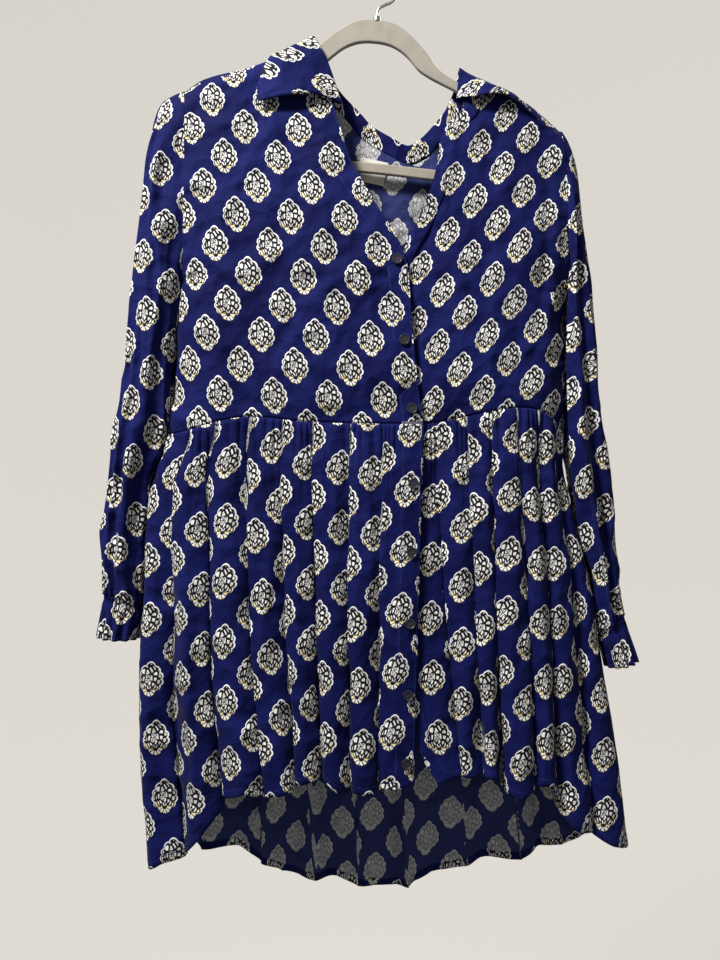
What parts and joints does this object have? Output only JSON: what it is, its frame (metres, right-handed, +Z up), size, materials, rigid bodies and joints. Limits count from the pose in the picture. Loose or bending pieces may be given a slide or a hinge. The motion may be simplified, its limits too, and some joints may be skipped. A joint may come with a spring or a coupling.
{
  "type": "babydoll dress on a hanger",
  "caption": "Long-sleeved babydoll dress with a buttoned front, pointed collar and gathered high-low skirt, on a slim hanger with a wire hook.",
  "frame": {"origin": "top of the inner curve of the hanger's hook, where a rail or peg holds it", "axes": "+Z up, +X to the right as the dress's front is seen, so the wearer's left, and -Y the way the front faces"},
  "size_m": [0.6212, 0.108, 1.0802],
  "materials": {
    "printed_cotton": "matt woven cotton, navy with a small repeat of white, black and pale yellow flower motifs",
    "button_plastic": "near black, softly glossy",
    "label_cloth": "plain woven, pale",
    "hanger_velvet": "short flock on a slim plastic hanger, grey beige",
    "hook_steel": "satin wire"
  },
  "bodies": {
    "root": {"hanger_body": "hanger_velvet", "hanger_hook": "hook_steel", "bodice_front_right": "printed_cotton", "bodice_front_left": "printed_cotton", "bodice_back": "printed_cotton", "skirt_front_right": "printed_cotton", "skirt_front_left": "printed_cotton", "skirt_back": "printed_cotton", "placket_right": "printed_cotton", "placket_left": "printed_cotton", "sleeve_right": "printed_cotton", "sleeve_left": "printed_cotton", "cuff_right": "printed_cotton", "cuff_left": "printed_cotton", "collar": "printed_cotton", "button_1": "button_plastic", "button_2": "button_plastic", "button_3": "button_plastic", "button_4": "button_plastic", "button_5": "button_plastic", "button_6": "button_plastic", "button_7": "button_plastic", "button_8": "button_plastic", "label": "label_cloth"}
  },
  "joints": []
}
